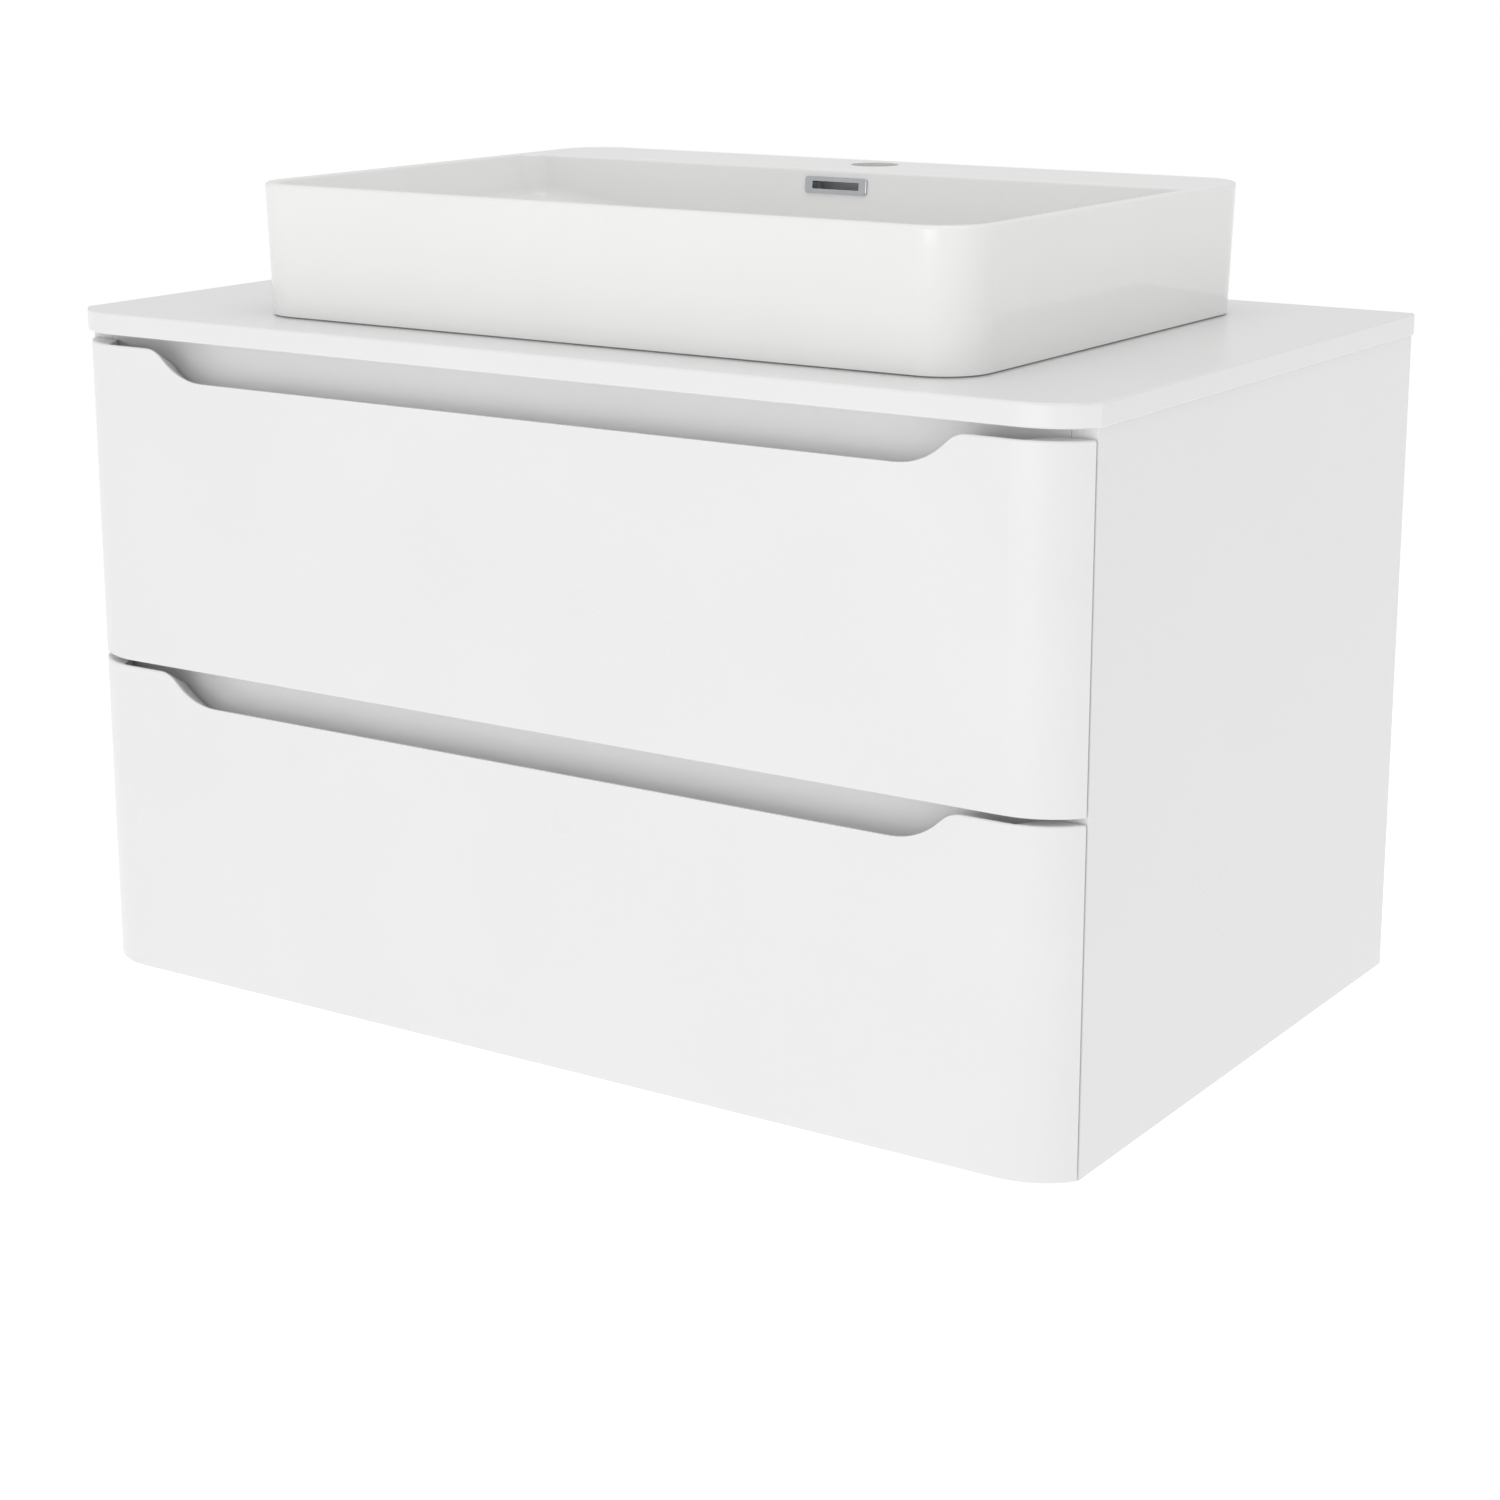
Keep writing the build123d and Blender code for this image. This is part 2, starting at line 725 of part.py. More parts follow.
def make_basin_block():
    foot = inset_outline(basin_x0, basin_x1, basin_front_y, basin_back_y, basin_z, basin_corner, basin_draft)
    rim = inset_outline(basin_x0, basin_x1, basin_front_y, basin_back_y, basin_top_z, basin_corner, 0)
    return loft([foot, rim])


def bowl_outline(z, inset_x, inset_y):
    """The bowl's plan at height z: wide corners in front and tight ones at the ledge."""
    width = bowl_x1 - bowl_x0 - 2 * inset_x
    depth = bowl_back_y - bowl_front_y - 2 * inset_y
    outline = Pos(basin_x, (bowl_front_y + bowl_back_y) / 2, z) * Rectangle(width, depth)
    outline = fillet(outline.vertices().group_by(Axis.Y)[0], bowl_front_corner)
    return fillet(outline.vertices().group_by(Axis.Y)[-1], bowl_back_corner)


def dish(y0, y1, drop):
    """The wide cylinder along Y whose underside is the bowl's dished floor, lowered by drop."""
    half = (bowl_x1 - bowl_x0) / 2
    rise = bowl_depth - bowl_end_depth
    radius = (half ** 2 + rise ** 2) / (2 * rise)
    return rod_y(basin_x, y0, y1, bowl_floor_z + radius, radius + drop)


def make_bowl_space():
    """The space inside the bowl: sloping walls, and a floor that dips from both ends to the drain."""
    inset_x = bowl_depth * tan(radians(bowl_end_slope))
    inset_y = bowl_depth * tan(radians(bowl_wall_slope))
    space = loft([bowl_outline(bowl_floor_z, inset_x, inset_y), bowl_outline(basin_top_z, 0, 0)])
    space = space & dish(basin_front_y, basin_back_y, 0)
    floor = space.faces().sort_by(Axis.Z)[0]
    return fillet(floor.edges(), bowl_fillet)


def make_underside_pocket():
    """The hollow under the bowl and the taller one under the tap ledge, around the drain boss and duct."""
    inset = ceramic_wall + basin_draft
    x0 = basin_x0 + inset
    x1 = basin_x1 - inset
    y0 = basin_front_y + inset
    y1 = basin_back_y - inset
    ledge_y = bowl_back_y + ceramic_wall
    ledge_z = basin_top_z - ledge_thickness
    pocket = block(x0, x1, y0, y1, basin_z - 1, ledge_z)
    pocket = fillet(pocket.edges().filter_by(Axis.Z), basin_corner / 4)
    pocket -= dish(y0 - 1, ledge_y, ceramic_wall)
    pocket -= rod(basin_x, drain_y, basin_z - 2, basin_top_z, waste_flange_radius + ceramic_wall)
    half = duct_width / 2 + ceramic_wall / 2
    duct_back = ledge_y + duct_gap + ceramic_wall / 2
    return pocket - block(basin_x - half, basin_x + half, drain_y, duct_back, basin_z - 2, basin_top_z)


def make_overflow_duct():
    """The hidden passage from the overflow slot down and forwards to the drain."""
    half = duct_width / 2
    y0 = bowl_back_y + ceramic_wall
    z0 = basin_z + ceramic_wall / 2
    top = overflow_z + overflow_height / 2 - overflow_collar_wall
    fall = block(basin_x - half, basin_x + half, y0, y0 + duct_gap, z0, top)
    run = block(basin_x - half, basin_x + half, drain_y, y0 + duct_gap, z0, z0 + duct_gap)
    return fall + run


def overflow_frame():
    """The slot's place on the sloping back wall of the bowl, with local -Y pointing into the bowl."""
    y = bowl_back_y - overflow_below_rim * tan(radians(bowl_wall_slope))
    return Pos(basin_x, y, overflow_z) * Rot(-bowl_wall_slope, 0, 0)


def slot_prism(width, height, y0, y1, radius):
    """A rounded bar along Y."""
    plane = Plane(origin=(0, y0, 0), x_dir=(1, 0, 0), z_dir=(0, 1, 0))
    return extrude(plane * RectangleRounded(width, height, radius), y1 - y0)


def mouth_edges(body, space):
    """The edges of body where space opens upwards."""
    mouth = [edge.center() for edge in space.faces().sort_by(Axis.Z)[-1].edges()]
    level = body.edges().filter_by_position(Axis.Z, basin_top_z - level_band, basin_top_z + level_band)
    return [edge for edge in level if min((edge.center() - point).length for point in mouth) < 0.1]


def make_basin():
    body = make_basin_block()
    outside = body.edges().filter_by_position(Axis.Z, basin_top_z - level_band, basin_top_z + level_band)
    body = fillet(outside, rim_outer_round)
    space = make_bowl_space()
    body -= space
    body = fillet(mouth_edges(body, space), rim_inner_round)
    body -= make_underside_pocket()
    body -= make_overflow_duct()
    body -= rod(basin_x, drain_y, basin_z - 1, bowl_floor_z + 1, drain_hole_radius)
    seat_radius = waste_flange_radius + waste_seat_gap
    body -= rod(basin_x, drain_y, bowl_floor_z - waste_flange_sink, bowl_floor_z + 1, seat_radius)
    body -= rod(basin_x, tap_hole_y, basin_z, basin_top_z + 1, tap_hole_radius)
    collar_width = overflow_slot_width + 2 * overflow_collar_wall + 2 * hole_clearance
    collar_height = overflow_slot_height + 2 * overflow_collar_wall + 2 * hole_clearance
    collar_end = ceramic_wall + duct_gap / 2
    collar_hole = slot_prism(collar_width, collar_height, -2, collar_end, overflow_collar_corner)
    body -= overflow_frame() * collar_hole
    return body


def make_bead():
    """The thin silicone bed between basin and worktop."""
    def ring(inset):
        outline = (basin_x0, basin_x1, basin_front_y, basin_back_y)
        return extrude(inset_outline(*outline, worktop_z, basin_corner, inset), bead_thickness)
    start = basin_draft + bead_inset
    return ring(start) - ring(start + bead_width)


def make_overflow_ring():
    """The bright trim plate on the bowl wall with a collar that lines the slot."""
    plate = slot_prism(overflow_width, overflow_height, -overflow_plate, 0, overflow_plate_corner)
    rim = plate.edges().group_by(Axis.Y)[0]
    plate = fillet(rim, overflow_plate / 2)
    collar_width = overflow_slot_width + 2 * overflow_collar_wall
    collar_height = overflow_slot_height + 2 * overflow_collar_wall
    collar_start = -overflow_plate / 2
    collar = slot_prism(collar_width, collar_height, collar_start, overflow_collar, overflow_collar_corner)
    ring = plate + collar
    y0 = -overflow_plate - 1
    y1 = overflow_collar + 1
    ring -= slot_prism(overflow_slot_width, overflow_slot_height, y0, y1, overflow_slot_corner)
    return overflow_frame() * ring


# ---------------------------------------------------------------- waste


def make_waste_body():
    """A flanged tube with a spoked guide for the plug's stem and slots that let the overflow in."""
    flange = rod(basin_x, drain_y, flange_z, flange_z + waste_flange_thickness, waste_flange_radius)
    flange = fillet(flange.edges().group_by(Axis.Z)[-1], 1)
    body = flange + rod(basin_x, drain_y, waste_bottom_z, flange_z, waste_tube_radius)
    body -= rod(basin_x, drain_y, waste_bottom_z - 1, flange_z + waste_flange_thickness + 1, waste_tube_bore)
    half = guide_spoke / 2
    reach = waste_tube_bore + 1
    top = guide_z + guide_height
    body += block(basin_x - reach, basin_x + reach, drain_y - half, drain_y + half, guide_z, top)
    body += block(basin_x - half, basin_x + half, drain_y - reach, drain_y + reach, guide_z, top)
    body += rod(basin_x, drain_y, guide_z, top, guide_hub_radius)
    body -= rod(basin_x, drain_y, guide_z - 1, top + 1, plug_stem_radius + running_clearance)
    slot_z = basin_z + ceramic_wall / 2 + duct_gap / 2
    for angle in (45, 135):
        bar = Box(4 * waste_tube_radius, duct_gap, duct_gap)
        body -= Pos(basin_x, drain_y, slot_z) * Rot(0, 0, angle) * bar
    return body


def make_plug():
    """A slightly crowned disc on a stem; it rests closed and clicks up."""
    z0 = flange_z + waste_flange_thickness + plug_seat_gap
    disc = rod(basin_x, drain_y, z0, z0 + plug_thickness, plug_radius)
    disc = fillet(disc.edges().group_by(Axis.Z)[-1], plug_crown)
    return disc + rod(basin_x, drain_y, z0 - plug_stem_length, z0, plug_stem_radius)


def make_gasket():
    z1 = cabinet_height
    ring = rod(basin_x, drain_y, z1 - gasket_thickness, z1, gasket_radius)
    bore_radius = waste_tube_radius + thread_clearance
    return ring - rod(basin_x, drain_y, z1 - gasket_thickness - 1, z1 + 1, bore_radius)


def make_locknut():
    z1 = cabinet_height - gasket_thickness
    hexagon = Pos(basin_x, drain_y, z1 - locknut_height) * RegularPolygon(locknut_radius, 6)
    nut = extrude(hexagon, locknut_height)
    bore_radius = waste_tube_radius + thread_clearance
    return nut - rod(basin_x, drain_y, z1 - locknut_height - 1, z1 + 1, bore_radius)


# ---------------------------------------------------------------- bottle trap
def ribbed_nut(bore, length):
    """A hand nut along +Z: a threaded part, then an inward lip around the pipe."""
    nut = Pos(0, 0, length / 2) * Cylinder(trap_nut_radius, length)
    flute = Pos(trap_nut_radius + nut_rib_radius / 2, 0, length / 2) * Cylinder(nut_rib_radius, length + 2)
    for count in range(nut_ribs):
        nut -= Rot(0, 0, count * 360 / nut_ribs) * flute
    nut -= Pos(0, 0, (length - trap_nut_lip) / 2 - 1) * Cylinder(bore, length - trap_nut_lip + 2)
    return nut - Pos(0, 0, length / 2) * Cylinder(pipe_radius + thread_clearance, length + 2)


def make_trap_body():
    body = rod(basin_x, drain_y, trap_body_z, trap_top_z, trap_radius)
    body = fillet(body.edges().group_by(Axis.Z)[-1], trap_shoulder_round)
    body += rod(basin_x, drain_y, trap_top_z - 1, neck_top_z, trap_neck_radius)
    body += rod_y(basin_x, drain_y, socket_end_y, outlet_z, trap_neck_radius)
    hollow = trap_radius - trap_wall
    body -= rod(basin_x, drain_y, trap_body_z - 1, trap_top_z - trap_wall, hollow)
    body -= rod(basin_x, drain_y, trap_top_z - trap_top_bore, neck_top_z + 1, pipe_radius + thread_clearance)
    return body - rod_y(basin_x, drain_y, socket_end_y + 1, outlet_z, pipe_radius + thread_clearance)


def make_trap_cup():
    cup = rod(basin_x, drain_y, trap_cup_z, trap_body_z, trap_radius - trap_cup_step)
    cup = fillet(cup.edges().group_by(Axis.Z)[0], trap_cup_round)
    cup += rod(basin_x, drain_y, trap_body_z - trap_cup_ring, trap_body_z, trap_radius + trap_cup_step)
    bore_radius = trap_radius - trap_cup_step - trap_wall
    return cup - rod(basin_x, drain_y, trap_cup_z + trap_wall, trap_body_z + 1, bore_radius)


def make_tailpipe():
    z0 = trap_cup_z + tailpipe_above_cup_floor
    z1 = waste_bottom_z + tailpipe_above_waste_end
    bore = rod(basin_x, drain_y, z0 - 1, z1 + 1, pipe_radius - pipe_wall)
    return rod(basin_x, drain_y, z0, z1, pipe_radius) - bore


def make_outlet_pipe():
    """The pipe to the wall, with a raised stop just behind the outlet nut."""
    y0 = drain_y + trap_radius + 2
    pipe = rod_y(basin_x, y0, 0, outlet_z, pipe_radius)
    stop_y = socket_end_y + trap_nut_lip + pipe_stop_after_nut
    pipe += rod_y(basin_x, stop_y, stop_y + pipe_stop_width, outlet_z, pipe_radius + pipe_stop_height)
    return pipe - rod_y(basin_x, y0 - 1, 1, outlet_z, pipe_radius - pipe_wall)


def make_trap_nuts():
    """The inlet nut on the neck and the outlet nut on the socket."""
    bore = trap_neck_radius + thread_clearance
    inlet_length = trap_neck_height - trap_nut_start + trap_nut_lip
    outlet_length = trap_socket_length - trap_nut_start + trap_nut_lip
    inlet = Pos(basin_x, drain_y, trap_top_z + trap_nut_start) * ribbed_nut(bore, inlet_length)
    start_y = drain_y + trap_radius + trap_nut_start
    outlet = Pos(basin_x, start_y, outlet_z) * Rot(-90, 0, 0) * ribbed_nut(bore, outlet_length)
    return inlet, outlet


# ---------------------------------------------------------------- parts list
def build_all():
    os.makedirs("parts", exist_ok=True)
    save(make_worktop(), "worktop")
    for name, side in SIDES.items():
        save(make_side_panel(side), f"side_panel_{name}")
        save(make_hanger(side), f"hanger_{name}")
        save(make_wall_plate(side), f"wall_plate_{name}")
    for name in ("bottom_panel", "top_front_rail", "middle_rail", "bottom_back_rail"):
        save(make_board(name), name)
    save(make_top_back_rail(), "top_back_rail")
    save(group([dowel for side in SIDES.values() for dowel in dowel_row(0, side)]), "cabinet_dowels")
    save(group([make_bracket(x, y) for x, y in bracket_places()]), "worktop_brackets")
    save(group(make_bracket_screws()), "bracket_screws")
    save_drawer("lower", 0, lower_box_bottom, False)
    save_drawer("upper", upper_front_z, upper_box_bottom, True)
    save_runners("lower", lower_box_bottom)
    save_runners("upper", upper_box_bottom)
    save(make_basin(), "basin")
    save(make_bead(), "basin_seal_bead")
    save(make_overflow_ring(), "overflow_ring")
    save(make_waste_body(), "waste_body")
    save(make_plug(), "waste_plug")
    save(make_gasket(), "waste_gasket")
    save(make_locknut(), "waste_locknut")
    save(make_trap_body(), "trap_body")
    save(make_trap_cup(), "trap_cup")
    save(make_tailpipe(), "trap_tailpipe")
    save(make_outlet_pipe(), "trap_outlet_pipe")
    inlet_nut, outlet_nut = make_trap_nuts()
    save(inlet_nut, "trap_inlet_nut")
    save(outlet_nut, "trap_outlet_nut")


build_all()
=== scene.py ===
# %% [markdown]
# # A wall-hung vanity with a ceramic vessel basin
#
# The model arrives as exact solids: boards, drawers on runners, a basin and its waste. They are already the
# right size and in the right place, so Blender's work is the part that the eye meets: what each surface is
# made of, how its edges are eased, and the soft daylight that shows both. Every length is in metres. The
# wall is the plane y = 0, the drawer fronts look along -Y, and the cabinet's underside is at z = 0.

# %% Load the solids
import json
import math

import bmesh
import bpy
from mathutils import Matrix, Vector


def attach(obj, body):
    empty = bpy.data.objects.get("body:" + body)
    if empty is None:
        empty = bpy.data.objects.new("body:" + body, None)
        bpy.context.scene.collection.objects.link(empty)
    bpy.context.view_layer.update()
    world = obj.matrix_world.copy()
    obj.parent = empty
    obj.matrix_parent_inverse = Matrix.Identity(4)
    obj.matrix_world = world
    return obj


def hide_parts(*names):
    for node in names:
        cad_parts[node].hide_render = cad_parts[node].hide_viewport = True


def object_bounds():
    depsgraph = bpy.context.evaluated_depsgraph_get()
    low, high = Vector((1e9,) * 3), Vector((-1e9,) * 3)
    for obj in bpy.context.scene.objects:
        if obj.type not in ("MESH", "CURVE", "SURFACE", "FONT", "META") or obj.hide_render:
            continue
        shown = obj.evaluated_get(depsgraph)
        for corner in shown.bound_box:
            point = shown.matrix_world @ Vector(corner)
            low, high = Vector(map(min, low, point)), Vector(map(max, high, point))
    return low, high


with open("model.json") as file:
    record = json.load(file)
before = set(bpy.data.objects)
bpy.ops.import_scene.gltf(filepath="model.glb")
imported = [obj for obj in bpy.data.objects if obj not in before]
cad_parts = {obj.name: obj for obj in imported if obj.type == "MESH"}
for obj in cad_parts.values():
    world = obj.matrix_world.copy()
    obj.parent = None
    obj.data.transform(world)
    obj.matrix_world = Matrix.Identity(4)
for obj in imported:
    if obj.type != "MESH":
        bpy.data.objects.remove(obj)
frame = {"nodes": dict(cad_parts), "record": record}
nodes = frame["nodes"]
cad_low, cad_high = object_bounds()
size = [round((high - low) * 1000) for low, high in zip(cad_low, cad_high)]
print(f"{len(nodes)} solids, {size[0]} mm wide, {size[1]} mm deep, {size[2]} mm high")

# %% [markdown]
# ## Colours and nodes
#
# A colour picked on a screen is an sRGB value, while Blender's sockets take linear light. One function
# turns the hex value that a designer would write down into the other.
#
# A procedural finish is a small chain of nodes. One helper adds any node, sets its options and plugs in its
# inputs, so each finish below reads as a recipe from the pattern up to the shader. All patterns read Object
# coordinates. Every piece sits at the origin unscaled, so those are metres on the real object, and a
# pattern that is said to be 3 mm wide is 3 mm wide on every board.


# %% Colour and node helpers
# A Mix node has sockets for every data type. These are its factor, its two colours and the colour it gives.
MIX_FACTOR, MIX_LOW, MIX_HIGH, MIX_COLOUR = 0, 6, 7, 2


def linear(hex_colour):
    """The linear RGBA of an sRGB hex colour."""
    shares = [int(hex_colour[start:start + 2], 16) / 255 for start in (1, 3, 5)]
    light = [s / 12.92 if s <= 0.04045 else ((s + 0.055) / 1.055) ** 2.4 for s in shares]
    return (*light, 1.0)


def add_node(finish, kind, options=None, inputs=None):
    """Adds a node to a finish. An input is a number, a colour or another node's output."""
    node = finish.node_tree.nodes.new(kind)
    for name, value in (options or {}).items():
        setattr(node, name, value)
    for name, value in (inputs or {}).items():
        if isinstance(value, bpy.types.NodeSocket):
            finish.node_tree.links.new(value, node.inputs[name])
        else:
            node.inputs[name].default_value = value
    return node


def new_finish(name, **sockets):
    """A material with its shader. sockets are the shader's constants, set on the shader itself."""
    finish = bpy.data.materials.new(name)
    finish.use_nodes = True
    shader = finish.node_tree.nodes["Principled BSDF"]
    for socket, value in sockets.items():
        shader.inputs[socket.replace("_", " ")].default_value = value
    place = add_node(finish, "ShaderNodeTexCoord").outputs["Object"]
    return finish, shader, place


def add_noise(finish, place, width, detail):
    """Soft random patches about this wide, in metres. More detail gives them rougher edges."""
    return add_node(finish, "ShaderNodeTexNoise", {}, {"Vector": place, "Scale": 1 / width, "Detail": detail})


def between(finish, pattern, low_colour, high_colour):
    """A colour that wanders between two near ones as the pattern goes from 0 to 1."""
    mix = add_node(finish, "ShaderNodeMix", {"data_type": "RGBA"}, {
        MIX_FACTOR: pattern, MIX_LOW: linear(low_colour), MIX_HIGH: linear(high_colour)})
    return mix.outputs[MIX_COLOUR]


def scaled(finish, pattern, low, high, start=0.3, end=0.7):
    """A number that goes from low to high as the pattern goes from start to end."""
    spread = add_node(finish, "ShaderNodeMapRange", {}, {
        "Value": pattern, "From Min": start, "From Max": end, "To Min": low, "To Max": high})
    return spread.outputs["Result"]


def connect(finish, output, shader, socket):
    finish.node_tree.links.new(output, shader.inputs[socket])


MM = 0.001
print("mid grey in linear light:", round(linear("#808080")[0], 3))

# %% [markdown]
# ## White lacquer
#
# The fronts, worktop and side panels are fibreboard sprayed with a two-part polyurethane lacquer. A sprayed
# film never dries quite flat: it has a faint orange peel a few millimetres across, which blurs reflections
# a little, and its sheen drifts slowly over a wide board. So the shader gets a satin base under a thin
# clear coat, a very low bump at the peel's scale, and a roughness that wanders at hand's width.


# %% White lacquer
def make_lacquer():
    finish, shader, place = new_finish(
        "sprayed_polyurethane_lacquer", IOR=1.5, Coat_Weight=0.35, Coat_Roughness=0.12, Coat_IOR=1.5)
    drift = add_noise(finish, place, 120 * MM, 2)
    connect(finish, between(finish, drift.outputs["Fac"], "#E1E1E1", "#E5E5E5"), shader, "Base Color")
    connect(finish, scaled(finish, drift.outputs["Fac"], 0.27, 0.36), shader, "Roughness")
    peel = add_noise(finish, place, 3.5 * MM, 1)
    bump = add_node(finish, "ShaderNodeBump", {}, {
        "Height": peel.outputs["Fac"], "Strength": 0.12, "Distance": 0.05 * MM})
    connect(finish, bump.outputs["Normal"], shader, "Normal")
    return finish


lacquer = make_lacquer()
print(lacquer.name)

# %% [markdown]
# ## White melamine board
#
# The drawer boxes and the hidden boards are chipboard faced with melamine paper. Its press plate leaves a
# fine pebbled skin, duller than the lacquer. A Voronoi pattern smoothed by its distance gives such pebbles.


# %% White melamine board
def make_melamine():
    finish, shader, place = new_finish("pebbled_melamine", IOR=1.5)
    drift = add_noise(finish, place, 60 * MM, 3)
    connect(finish, between(finish, drift.outputs["Fac"], "#E9E9E6", "#EFEFED"), shader, "Base Color")
    pebbles = add_node(finish, "ShaderNodeTexVoronoi", {"feature": "SMOOTH_F1"}, {
        "Vector": place, "Scale": 1 / (1.6 * MM), "Smoothness": 0.8})
    connect(finish, scaled(finish, pebbles.outputs["Distance"], 0.42, 0.55, 0, 1), shader, "Roughness")
    bump = add_node(finish, "ShaderNodeBump", {}, {
        "Height": pebbles.outputs["Distance"], "Strength": 0.25, "Distance": 0.08 * MM})
    connect(finish, bump.outputs["Normal"], shader, "Normal")
    return finish


melamine = make_melamine()
print(melamine.name)

# %% [markdown]
# ## Glazed ceramic
#
# The basin is vitreous china under a poured glaze, fired together. The glaze is glass, so it is almost a
# mirror at a low angle. It flows a little before it sets, which leaves slow waves some centimetres long,
# and the clay under it is a slightly warmer and lighter white than the lacquer. The glaze is one very
# smooth layer: a clear coat over it would double its highlight.


# %% Glazed ceramic
def make_glaze():
    finish, shader, place = new_finish("glazed_vitreous_china", IOR=1.52)
    body = add_noise(finish, place, 80 * MM, 2)
    connect(finish, between(finish, body.outputs["Fac"], "#E7E7E6", "#EBEBEA"), shader, "Base Color")
    connect(finish, scaled(finish, body.outputs["Fac"], 0.05, 0.09), shader, "Roughness")
    waves = add_noise(finish, place, 35 * MM, 1)
    bump = add_node(finish, "ShaderNodeBump", {}, {
        "Height": waves.outputs["Fac"], "Strength": 0.35, "Distance": 0.25 * MM})
    connect(finish, bump.outputs["Normal"], shader, "Normal")
    return finish


glaze = make_glaze()
print(glaze.name)

# %% [markdown]
# ## Metals
#
# Chrome plate copies the metal under it, so it shows the last polish: faint hairlines, much too fine to see
# one by one. Bright zinc plate on the folded steel of runners and hangers is duller and cloudy, with grains
# a few millimetres across. Both are full metals, whose colour is that of their reflections.


# %% Chrome and zinc plate
def make_chrome():
    finish, shader, place = new_finish("polished_chrome_plate", Metallic=1.0)
    polish = add_noise(finish, place, 9 * MM, 4)
    connect(finish, between(finish, polish.outputs["Fac"], "#B6B9BD", "#C8CBCE"), shader, "Base Color")
    connect(finish, scaled(finish, polish.outputs["Fac"], 0.05, 0.11), shader, "Roughness")
    bump = add_node(finish, "ShaderNodeBump", {}, {
        "Height": polish.outputs["Fac"], "Strength": 0.1, "Distance": 0.05 * MM})
    connect(finish, bump.outputs["Normal"], shader, "Normal")
    return finish


def make_zinc():
    finish, shader, place = new_finish("bright_zinc_plated_steel", Metallic=1.0)
    cloud = add_node(finish, "ShaderNodeTexVoronoi", {"feature": "SMOOTH_F1"}, {
        "Vector": place, "Scale": 1 / (6 * MM), "Smoothness": 0.6})
    connect(finish, between(finish, cloud.outputs["Distance"], "#A9ADB1", "#C4C7CA"), shader, "Base Color")
    connect(finish, scaled(finish, cloud.outputs["Distance"], 0.26, 0.42, 0, 0.8), shader, "Roughness")
    grain = add_noise(finish, place, 1.2 * MM, 2)
    bump = add_node(finish, "ShaderNodeBump", {}, {
        "Height": grain.outputs["Fac"], "Strength": 0.15, "Distance": 0.04 * MM})
    connect(finish, bump.outputs["Normal"], shader, "Normal")
    return finish


chrome = make_chrome()
zinc = make_zinc()
print(chrome.name, zinc.name)

# %% [markdown]
# ## Plastics, rubber and wood
#
# The bottle trap is moulded polypropylene, which lets a little light in. The sealant is clearer still. The
# gasket is moulded rubber with a dusty bloom. The dowels are turned beech, whose flecks run along the rod,
# so the pattern is stretched along X by a Mapping node.


# %% Plastics, rubber and wood
def make_polypropylene():
    finish, shader, place = new_finish(
        "moulded_polypropylene", IOR=1.49, Subsurface_Weight=0.15, Subsurface_Scale=2 * MM)
    flow = add_noise(finish, place, 25 * MM, 2)
    connect(finish, between(finish, flow.outputs["Fac"], "#E6E7E5", "#EEEFED"), shader, "Base Color")
    connect(finish, scaled(finish, flow.outputs["Fac"], 0.3, 0.4), shader, "Roughness")
    texture = add_noise(finish, place, 0.9 * MM, 2)
    bump = add_node(finish, "ShaderNodeBump", {}, {
        "Height": texture.outputs["Fac"], "Strength": 0.15, "Distance": 0.03 * MM})
    connect(finish, bump.outputs["Normal"], shader, "Normal")
    return finish


def make_sealant():
    finish, shader, place = new_finish(
        "translucent_silicone", IOR=1.41, Subsurface_Weight=0.4, Subsurface_Scale=1.5 * MM)
    tooled = add_noise(finish, place, 12 * MM, 2)
    connect(finish, between(finish, tooled.outputs["Fac"], "#A9A9A7", "#BDBDBB"), shader, "Base Color")
    connect(finish, scaled(finish, tooled.outputs["Fac"], 0.3, 0.45), shader, "Roughness")
    return finish


def make_rubber():
    finish, shader, place = new_finish("moulded_rubber", IOR=1.52)
    bloom = add_noise(finish, place, 8 * MM, 4)
    connect(finish, between(finish, bloom.outputs["Fac"], "#1B1B1C", "#2A2A2B"), shader, "Base Color")
    connect(finish, scaled(finish, bloom.outputs["Fac"], 0.65, 0.85), shader, "Roughness")
    return finish


def make_beech():
    finish, shader, place = new_finish("turned_beech", IOR=1.5)
    along = add_node(finish, "ShaderNodeMapping", {}, {"Vector": place, "Scale": (0.15, 1, 1)})
    fleck = add_noise(finish, along.outputs["Vector"], 1.5 * MM, 5)
    connect(finish, between(finish, fleck.outputs["Fac"], "#B98A5C", "#D9B384"), shader, "Base Color")
    connect(finish, scaled(finish, fleck.outputs["Fac"], 0.5, 0.65), shader, "Roughness")
    bump = add_node(finish, "ShaderNodeBump", {}, {
        "Height": fleck.outputs["Fac"], "Strength": 0.3, "Distance": 0.1 * MM})
    connect(finish, bump.outputs["Normal"], shader, "Normal")
    return finish


polypropylene, sealant, rubber, beech = make_polypropylene(), make_sealant(), make_rubber(), make_beech()
print(polypropylene.name, sealant.name, rubber.name, beech.name)

# %% [markdown]
# ## Dress the solids
#
# The record names a material slot for every solid. One table says which finish each slot gets, and one loop
# puts it on. A solid may come with more than one mesh slot, so the loop fills them all.

# %% Dress the solids
finish_of_slot = {
    "white_lacquer": lacquer, "white_board": melamine, "glazed_ceramic": glaze, "chrome": chrome,
    "zinc_steel": zinc, "white_plastic": polypropylene, "silicone": sealant, "rubber": rubber,
    "beech": beech,
}
for part in frame["record"]["subparts"]:
    for mesh_slot in nodes[part["node"]].material_slots:
        mesh_slot.material = finish_of_slot[part["material_slot"]]

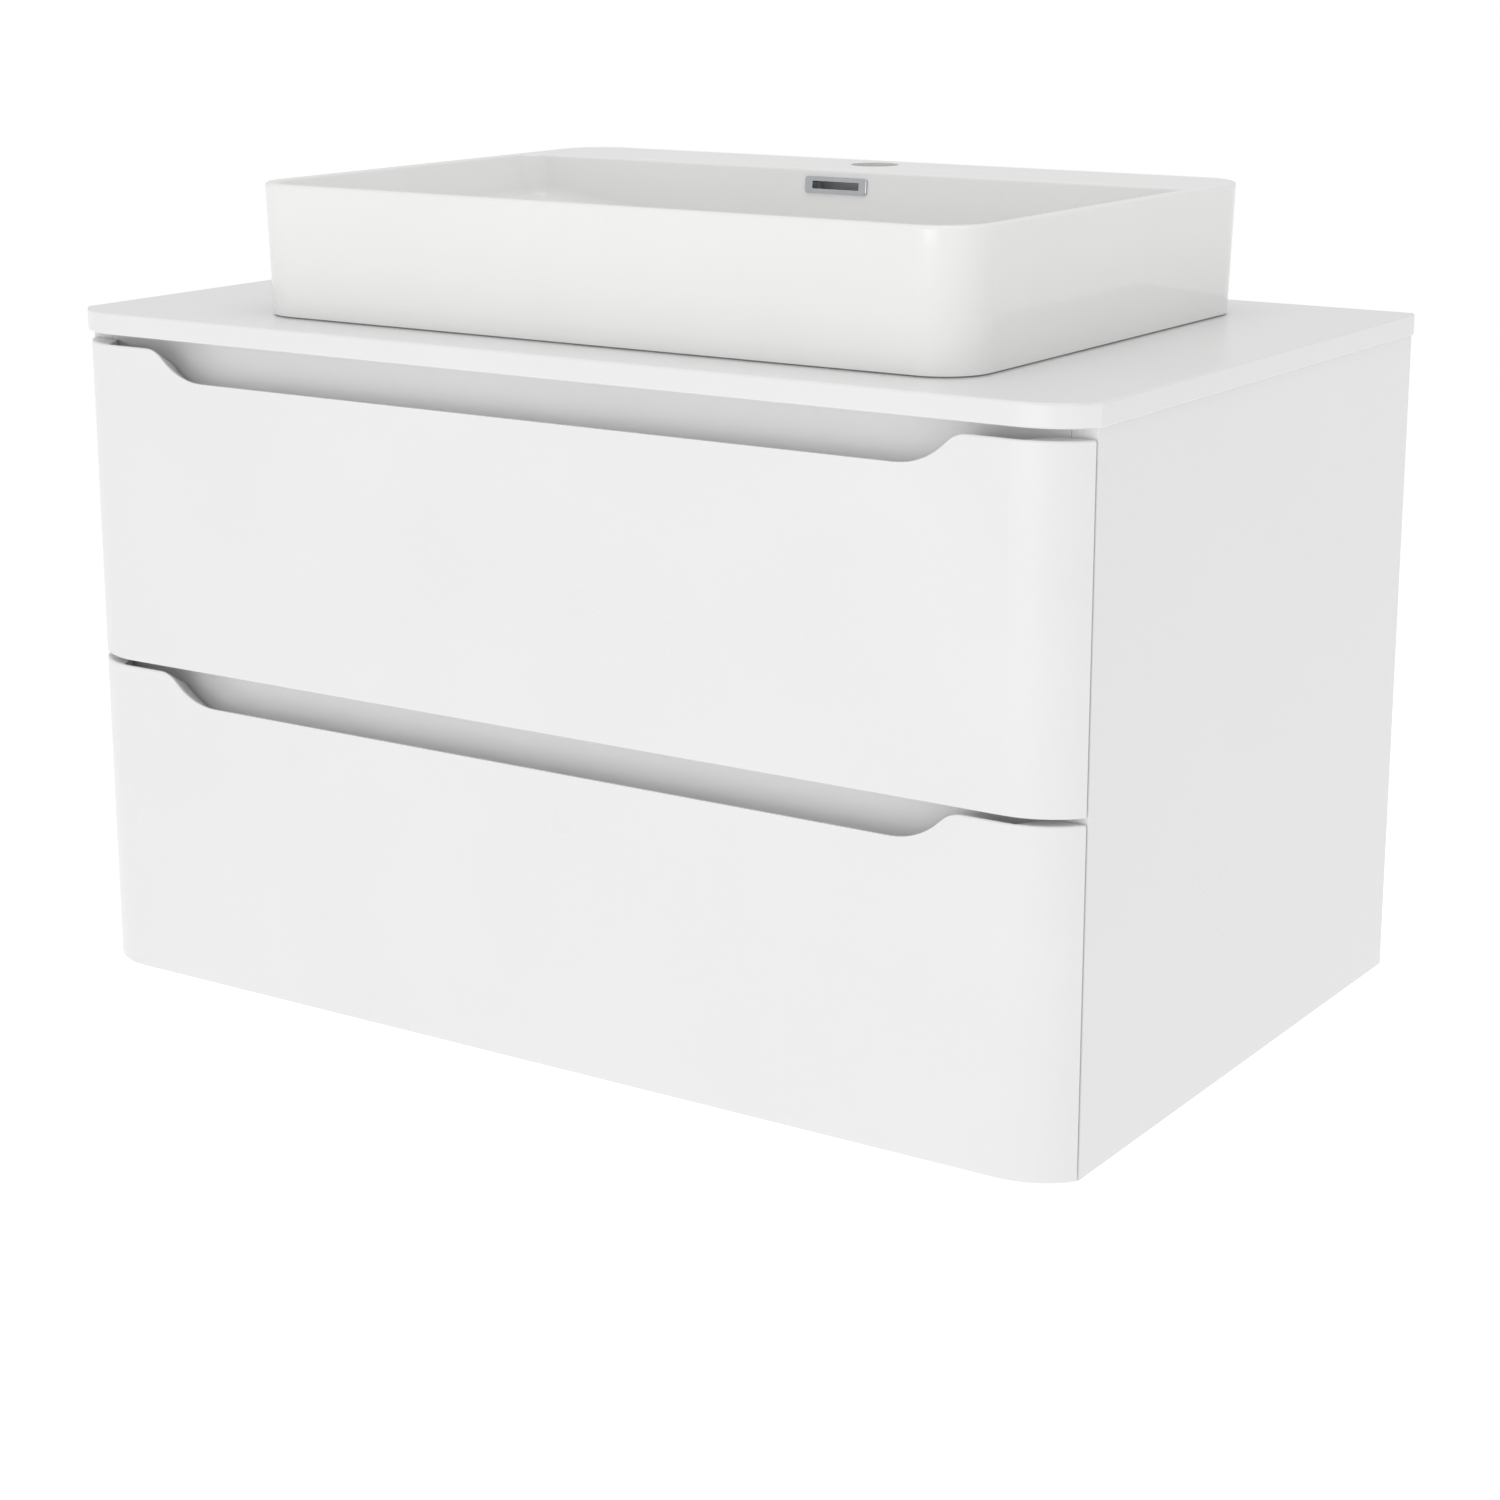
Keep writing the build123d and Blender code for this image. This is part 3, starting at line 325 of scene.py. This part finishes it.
# %% [markdown]
# ## Ease the side panels
#
# A lacquered board never has a knife edge: it is sanded before spraying, and the small round catches the
# light as a thin bright line. Each side panel gets a copy whose long outer edges are rounded. The copy's
# duplicate corners are merged and its flat triangles dissolved first, so that every long edge is one edge.

# %% Ease the side panels
sanded_radius = 0.8 * MM
merge_gap = 0.01 * MM
flat_angle = math.radians(1)
shortest_long_edge = 100 * MM
sharp_angle = math.radians(45)


def ease_board(name, body):
    """A copy of a board with its long edges rounded, which stands in for the exact solid."""
    board = bmesh.new()
    board.from_mesh(nodes[name].data)
    bmesh.ops.remove_doubles(board, verts=board.verts, dist=merge_gap)
    bmesh.ops.dissolve_limit(board, angle_limit=flat_angle, verts=board.verts, edges=board.edges)
    long_edges = [edge for edge in board.edges
                  if edge.calc_length() > shortest_long_edge and edge.calc_face_angle() > sharp_angle]
    bmesh.ops.bevel(board, geom=long_edges, offset=sanded_radius, segments=3, profile=0.5, affect="EDGES",
                    material=-1)
    mesh = bpy.data.meshes.new("sanded_" + name)
    board.to_mesh(mesh)
    board.free()
    piece = bpy.data.objects.new("sanded_" + name, mesh)
    bpy.context.scene.collection.objects.link(piece)
    mesh.materials.append(lacquer)
    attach(piece, body)
    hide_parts(name)
    return piece


for side in ("left", "right"):
    panel = ease_board("side_panel_" + side, "cabinet")
    print(panel.name, len(panel.data.polygons), "faces")

# %% [markdown]
# ## Floor
#
# A vanity like this hangs with its underside a little below knee height, so the floor lies well below it.
# The floor is pale and very wide, and it glows a little, as the swept floor of a white studio does under
# many lamps.

# %% Floor
floor_drop = 330 * MM
floor_half = 60.0
floor_glow = 0.29


def make_floor():
    plan = bmesh.new()
    bmesh.ops.create_grid(plan, x_segments=1, y_segments=1, size=floor_half,
                          matrix=Matrix.Translation((0, 0, -floor_drop)))
    mesh = bpy.data.meshes.new("studio_floor")
    plan.to_mesh(mesh)
    plan.free()
    floor = bpy.data.objects.new("studio_floor", mesh)
    bpy.context.scene.collection.objects.link(floor)
    paint, shader, place = new_finish("matt_floor_paint", Roughness=0.9)
    shade = add_node(paint, "ShaderNodeTexNoise", {}, {"Vector": place, "Scale": 0.6})
    connect(paint, between(paint, shade.outputs["Fac"], "#F6F6F6", "#FAFAFA"), shader, "Base Color")
    shader.inputs["Emission Color"].default_value = (1, 1, 1, 1)
    shader.inputs["Emission Strength"].default_value = floor_glow
    mesh.materials.append(paint)
    return floor


floor = make_floor()
print("floor", floor_drop, "m below the cabinet")

# %% [markdown]
# ## Lights
#
# Most of the light is an even white from all round. A low softbox in front brightens the fronts and reaches
# into the finger notches. One overhead lifts the worktop and the inside of the bowl.

# %% Lights
daylight = 0.76
object_middle = (0, -0.25, 0.25)
front_lamp = (0.2, -4.2, 0.5)
overhead_lamp = (0.4, -0.7, 2.9)


def add_softbox(name, place, target, width, height, watts):
    """A rectangular lamp that looks at a point."""
    lamp = bpy.data.lights.new(name, "AREA")
    lamp.shape = "RECTANGLE"
    lamp.size, lamp.size_y = width, height
    lamp.energy = watts
    box = bpy.data.objects.new(name, lamp)
    box.location = place
    box.rotation_euler = (Vector(target) - Vector(place)).to_track_quat("-Z", "Y").to_euler()
    bpy.context.scene.collection.objects.link(box)
    return box


world = bpy.data.worlds.new("white_studio")
world.use_nodes = True
world.node_tree.nodes["Background"].inputs["Color"].default_value = (1, 1, 1, 1)
world.node_tree.nodes["Background"].inputs["Strength"].default_value = daylight
bpy.context.scene.world = world
add_softbox("front_softbox", front_lamp, object_middle, width=2.4, height=1.2, watts=19)
add_softbox("overhead_softbox", overhead_lamp, object_middle, width=2.4, height=2.0, watts=15)
bpy.context.scene.view_settings.view_transform = "Standard"
print("world and two softboxes")

# %% [markdown]
# ## Camera
#
# The camera stands in front and to the right, above the basin's rim, and looks down a little. A fairly long
# lens keeps the near and far edges close in scale, and a small shift centres the object without tilting the
# camera.

# %% Camera
pitch_down = math.radians(13.70)
turn_left = math.radians(33.30)
sensor_mm = 36
lens_mm = 74.2
frame_shift = -0.06
camera_place = (1.190, -2.046, 0.7515)
camera_data = bpy.data.cameras.new("camera")
camera_data.sensor_width = sensor_mm
camera_data.lens = lens_mm
camera_data.shift_y = frame_shift
camera = bpy.data.objects.new("camera", camera_data)
camera.location = camera_place
camera.rotation_euler = (math.pi / 2 - pitch_down, 0, turn_left)
bpy.context.scene.collection.objects.link(camera)
bpy.context.scene.camera = camera
print("camera at", tuple(round(c, 3) for c in camera.location))
